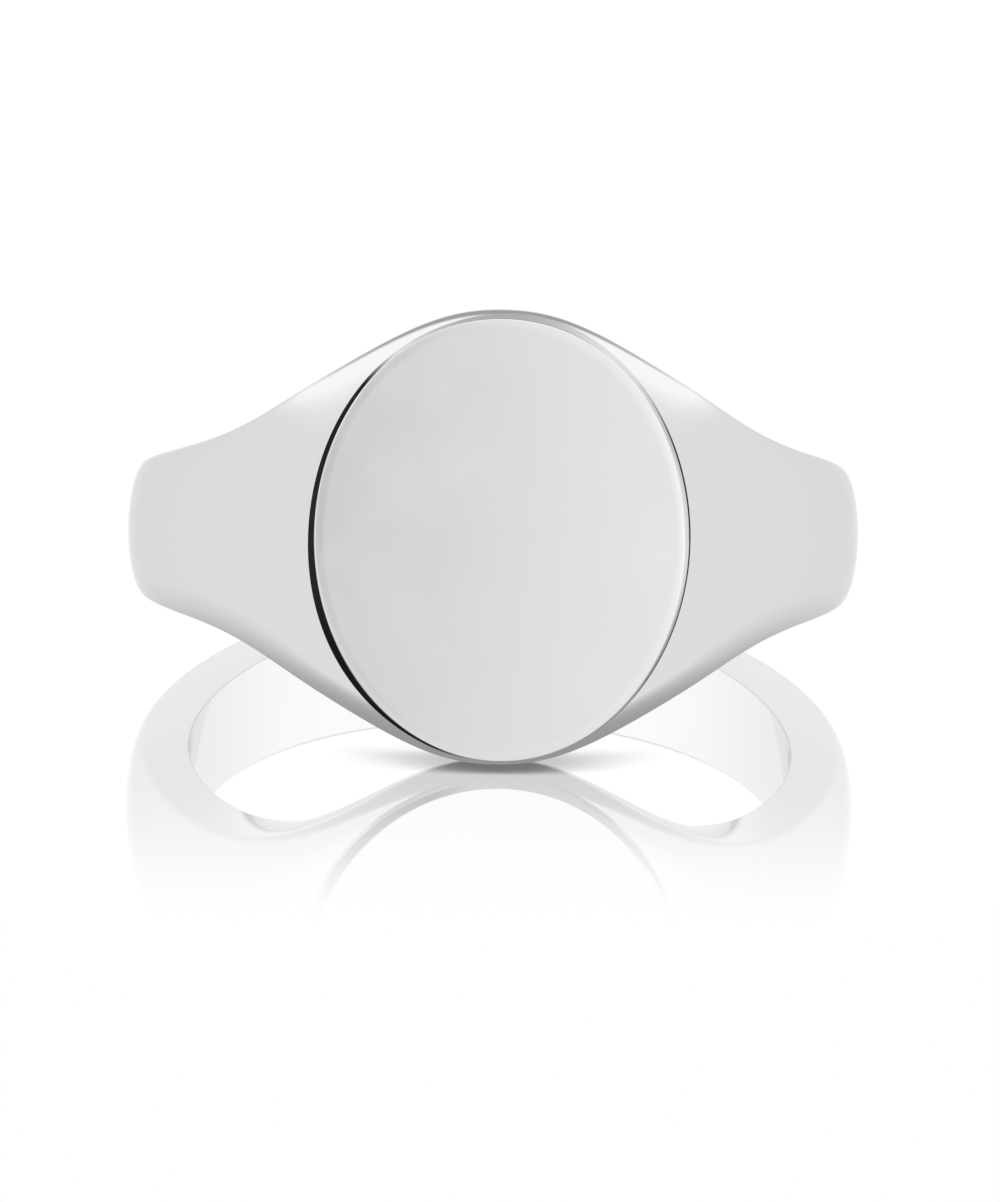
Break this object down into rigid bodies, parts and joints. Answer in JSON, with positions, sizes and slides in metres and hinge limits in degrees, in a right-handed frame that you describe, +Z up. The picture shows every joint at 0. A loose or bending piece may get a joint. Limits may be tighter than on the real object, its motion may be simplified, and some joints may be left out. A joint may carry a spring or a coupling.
{
  "type": "signet ring",
  "caption": "Plain polished signet ring with a blank oval table, flared shoulders and a D-section shank, lying on its side.",
  "frame": {"origin": "on the surface the ring lies on, below the middle of its outline, so Z = 0 touches the lower rim of the head and the lower edge of the back of the shank", "axes": "+Z up, +X to the right when the table is seen from the front, -Y the way the table faces; the ring lies on its side and leans back, so the finger hole's axis is tilted from +Z towards +Y"},
  "size_m": [0.022, 0.0234, 0.0132],
  "materials": {
    "band": "mirror-polished white precious metal",
    "table": "polished white precious metal with very fine wear",
    "solder": "polished flush with the metal on both sides"
  },
  "bodies": {
    "root": {"oval_table": "table", "table_solder": "solder", "head": "band", "left_shoulder": "band", "right_shoulder": "band", "head_left_solder": "solder", "head_right_solder": "solder", "shank": "band", "shank_left_solder": "solder", "shank_right_solder": "solder"}
  },
  "joints": []
}
